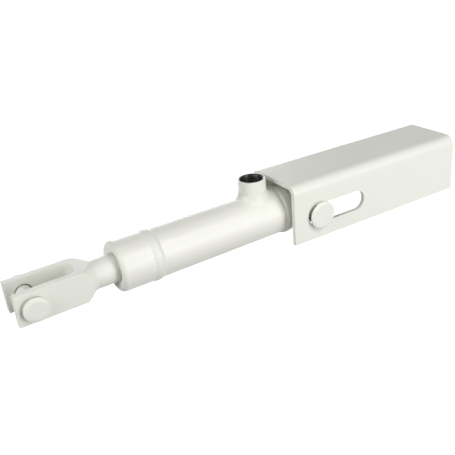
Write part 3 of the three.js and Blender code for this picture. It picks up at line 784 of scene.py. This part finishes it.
def rubber(name):
    """Moulded nitrile rubber: black, matt, with a faint mottled bloom."""
    material, tree = new_material(name)
    place = add(tree, "ShaderNodeTexCoord").outputs["Object"]
    bloom = add(tree, "ShaderNodeTexNoise", {
        "Vector": place, "Scale": 1 / (BLOOM_MM * MM), "Detail": 4.0})
    tone = add(tree, "ShaderNodeMix", {
        0: bloom.outputs[0], 6: linear("#121314"), 7: linear("#1f2021")}, data_type="RGBA")
    shader = add(tree, "ShaderNodeBsdfPrincipled", {"Base Color": tone.outputs[2], "Roughness": 0.7})
    add(tree, "ShaderNodeOutputMaterial", {"Surface": shader.outputs["BSDF"]})
    return material


# Each paint is given by two tones, its roughness, and its peel's spacing and height. The tube's paint
# shines most, and over welds and forgings it is rougher and duller. All five are one topcoat: their tones
# differ a little from part to part as painted light and shade, set to how light each part looks.
sheet_paint = paint("off_white_topcoat_on_sheet", "#ecede4", "#e9eae1", 0.42, 1.6, 0.018)
tube_paint = paint("off_white_topcoat_on_tube", "#eeeee6", "#ebebe2", 0.36, 1.8, 0.02)
weld_paint = paint("off_white_topcoat_on_weld", "#ebebe3", "#e6e7de", 0.40, 1.1, 0.05)
forging_paint = paint("off_white_topcoat_on_forging", "#ebebe3", "#e7e8df", 0.44, 2.2, 0.045)
pin_paint = paint("off_white_topcoat_on_turned_head", "#edede5", "#eaeae1", 0.40, 1.4, 0.015)

# Zinc is a soft silvery grey and bare steel darker, ground chrome nearly mirrors the room, bronze is warm
# and yellow, and the oiled black steel of the thread shows little but the glints on its crests. The
# thread's near-black colour, up to the port's rim, is partly painted shade, standing in for the shade
# deep in the port.
zinc = turned_metal("bright_zinc_plate", "#a9acac", 0.40, 0.5)
steel = turned_metal("turned_steel", "#8e9092", 0.36, 0.4)
chrome = turned_metal("ground_hard_chrome", "#adb2b7", 0.16, 0.3)
bearing_bronze = turned_metal("turned_bronze", "#b08d57", 0.38, 0.4)
nitrile = rubber("moulded_nitrile")
thread_steel_and_painted_shade = turned_metal("oiled_black_steel_thread_and_painted_shade", "#383735", 0.26, 0.4)


# Pieces

def dress(piece, material, body, node):
    """Gives a piece its material, and ties it to its body and the node that it stands for."""
    piece.data.materials.clear()
    piece.data.materials.append(material)
    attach(piece, body)
    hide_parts(node)


def dress_pin(end, head, radius, tail, washer, wire, split_y, place):
    """A headed pin with its washer and split pin, which all ride on the pin's body."""
    pin = f"{end}_pin"
    dress(make_pin_head(f"{pin}_head", head, place), pin_paint, pin, pin)
    dress(make_pin_shank(f"{pin}_shank", radius, head, tail, place), pin_paint, pin, pin)
    dress(make_washer(f"{end}_flat_washer", washer, radius + FIT, place), zinc, pin,
          f"{end}_washer")
    dress(make_split_pin(f"{end}_cotter", radius, wire, split_y, place), zinc, pin,
          f"{end}_split_pin")


dress(make_bracket(), sheet_paint, "bracket", "bracket")
dress_pin("rear", REAR_HEAD, REAR_PIN_RADIUS, REAR_PIN_END, REAR_WASHER, REAR_SPLIT_WIRE,
          REAR_SPLIT_Y, at_pin)

dress(make_barrel(), tube_paint, "barrel", "barrel_tube")
dress(make_head(), tube_paint, "barrel", "cylinder_head")
head_bead = weld_bead("head_bead", HEAD_WELD, HEAD_WELD_WIDTH, HEAD_WELD_CROWN, power=2.4, spacing=2.6)
dress(head_bead, weld_paint, "barrel", "head_weld")
rear_bead = weld_bead("rear_bead", REAR_WELD, REAR_WELD_WIDTH, REAR_WELD_CROWN, power=3.2, spacing=2.2)
dress(rear_bead, weld_paint, "barrel", "rear_weld")
dress(make_port_boss(), tube_paint, "barrel", "port_boss")
dress(make_port_thread(), thread_steel_and_painted_shade, "barrel", "port_boss")
dress(make_port_weld(), weld_paint, "barrel", "port_weld")
dress(make_gland(), tube_paint, "barrel", "gland_nut")
dress(make_wiper(), nitrile, "barrel", "wiper_seal")
dress(make_rear_cap(), forging_paint, "barrel", "rear_cap")
dress(make_bush(), steel, "barrel", "rear_bush")

dress(make_rod(), chrome, "rod", "piston_rod")
dress(make_fork(), forging_paint, "rod", "fork")
dress_pin("clevis", CLEVIS_HEAD, CLEVIS_RADIUS, CLEVIS_PIN_END, CLEVIS_WASHER, CLEVIS_SPLIT_WIRE,
          CLEVIS_SPLIT_Y, at_clevis)

inner_finishes = {
    "piston": steel, "piston_nut": steel, "piston_seal": nitrile, "piston_guide": bearing_bronze,
    "rod_seal": nitrile, "rod_guide": bearing_bronze}
for node, material in inner_finishes.items():
    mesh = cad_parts[node].data
    mesh.materials.clear()
    mesh.materials.append(material)


# Camera, floor, room and lamps

def seen_from(azimuth, elevation):
    """Axes of a level view from a direction in degrees: right, up, and back to the viewer."""
    a, e = math.radians(azimuth), math.radians(elevation)
    back = np.array([math.sin(a) * math.cos(e), -math.cos(a) * math.cos(e), math.sin(e)])
    right = np.array([math.cos(a), math.sin(a), 0])
    return right, np.cross(back, right), back


def stand(name, data, right, up, back, place):
    """Puts a camera or lamp at a place in metres, turned to its view's axes."""
    turn = np.eye(4)
    turn[:3, 0], turn[:3, 1], turn[:3, 2], turn[:3, 3] = right, up, back, place
    thing = bpy.data.objects.new(name, data)
    thing.matrix_world = Matrix(turn.tolist())
    bpy.context.scene.collection.objects.link(thing)
    return thing


def make_camera():
    """A pinhole camera with its picture rolled about the line of view and shifted in its frame."""
    right, up, back = seen_from(AZIMUTH, ELEVATION)
    c, s = math.cos(ROLL), math.sin(ROLL)
    right, up = c * right + s * up, c * up - s * right
    data = bpy.data.cameras.new("camera")
    data.sensor_width = SENSOR_MM
    data.lens = SENSOR_MM * FOCAL_PX / FRAME_PX
    data.shift_x = (FRAME_PX / 2 - CENTRE_PX[0]) / FRAME_PX
    data.shift_y = (CENTRE_PX[1] - FRAME_PX / 2) / FRAME_PX
    data.clip_start = 0.01
    bpy.context.scene.camera = stand("camera", data, right, up, back, np.array(CAMERA_MM) * MM)


def in_view(tree):
    """1 for rays from the lens, off a shine or through glass, and 0 for those that gather soft light."""
    ray = add(tree, "ShaderNodeLightPath").outputs
    shine = add(tree, "ShaderNodeMath", {
        0: ray["Is Camera Ray"], 1: ray["Is Glossy Ray"]}, operation="MAXIMUM")
    either = add(tree, "ShaderNodeMath", {
        0: shine.outputs[0], 1: ray["Is Transmission Ray"]}, operation="MAXIMUM")
    return either.outputs[0]


def make_floor():
    """Pale floor that lamps light a little and that glows for the camera, fully so far from the
    object, so that it is white but keeps a soft shadow. It lies low enough for the cylinder to hang
    clear of it."""
    half, z = FLOOR_HALF_M, GROUND_Z * MM
    mesh = bpy.data.meshes.new("floor")
    corners = [(-half, -half, z), (half, -half, z), (half, half, z), (-half, half, z)]
    mesh.from_pydata(corners, [], [(0, 1, 2, 3)])
    floor = bpy.data.objects.new("floor", mesh)
    bpy.context.scene.collection.objects.link(floor)
    material, tree = new_material("white_paper_floor")
    place = add(tree, "ShaderNodeTexCoord").outputs["Object"]
    away = add(tree, "ShaderNodeVectorMath", {0: place}, operation="LENGTH")
    white = add(tree, "ShaderNodeMapRange", {
        0: away.outputs["Value"], 1: GLOW_FROM_M, 2: GLOW_FULL_M, 3: FLOOR_GLOW, 4: 1.0})
    glow = add(tree, "ShaderNodeMath", {0: in_view(tree), 1: white.outputs[0]}, operation="MULTIPLY")
    shader = add(tree, "ShaderNodeBsdfPrincipled", {
        "Base Color": linear("#a4a4a4"), "Roughness": 0.9, "Specular IOR Level": 0.0,
        "Emission Color": (1, 1, 1, 1), "Emission Strength": glow.outputs[0]})
    add(tree, "ShaderNodeOutputMaterial", {"Surface": shader.outputs["BSDF"]})
    mesh.materials.append(material)


def make_world():
    """Room that is white to the camera and lights the object only faintly."""
    world = bpy.data.worlds.new("studio")
    world.use_nodes = True
    bpy.context.scene.world = world
    tree = world.node_tree
    tree.nodes.clear()
    seen = add(tree, "ShaderNodeMath", {0: in_view(tree), 1: 1 - WORLD_LIGHT}, operation="MULTIPLY")
    strength = add(tree, "ShaderNodeMath", {0: seen.outputs[0], 1: WORLD_LIGHT}, operation="ADD")
    background = add(tree, "ShaderNodeBackground", {
        "Color": (1, 1, 1, 1), "Strength": strength.outputs[0]})
    add(tree, "ShaderNodeOutputWorld", {"Surface": background.outputs[0]})


def make_softbox(name, azimuth, elevation, side, power):
    """Square area lamp that faces the object."""
    right, up, back = seen_from(azimuth, elevation)
    data = bpy.data.lights.new(name, "AREA")
    data.shape = "SQUARE"
    data.size = side
    data.energy = power
    stand(name, data, right, up, back, np.array(LAMP_TARGET_M) + LAMP_DISTANCE_M * back)


make_camera()
make_floor()
make_world()
for name, lamp in LAMPS.items():
    make_softbox(name, *lamp)

bpy.context.scene.view_settings.view_transform = "Standard"
